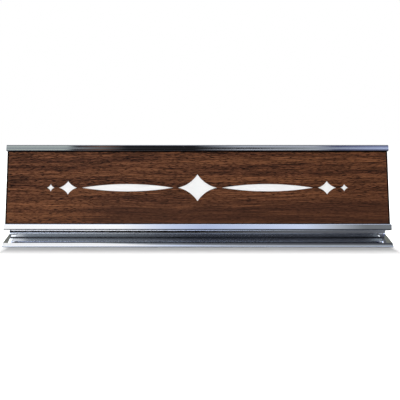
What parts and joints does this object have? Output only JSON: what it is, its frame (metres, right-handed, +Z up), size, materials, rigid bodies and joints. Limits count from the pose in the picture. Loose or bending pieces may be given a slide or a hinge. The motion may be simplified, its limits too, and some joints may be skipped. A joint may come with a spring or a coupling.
{
  "type": "desk name plate",
  "caption": "Free-standing desk name plate: an engraved wood-grain plate slides endways into a leaning, polished aluminium holder with lips, a set-back neck and an arched foot.",
  "frame": {"origin": "on the desk, at the middle of the foot's length and depth, under the neck", "axes": "+X along the plate, to the reader's right; +Y away from the reader, the way the plate leans; +Z up"},
  "size_m": [0.2548, 0.0392, 0.0661],
  "materials": {
    "polished_aluminium": "bright polished extrusion with fine lengthwise die lines",
    "white_core": "matt white core, cut by the engraving tool",
    "walnut_face": "satin walnut-grain laminate, grain along the plate"
  },
  "bodies": {
    "holder": {"desk_holder": "polished_aluminium"},
    "plate": {"plate_core": "white_core", "plate_face": "walnut_face"}
  },
  "joints": [
    {"name": "plate_slide", "type": "slide", "parent": "holder", "child": "plate", "axis": [1, 0, 0], "range_m": [-0.254, 0.254]}
  ]
}
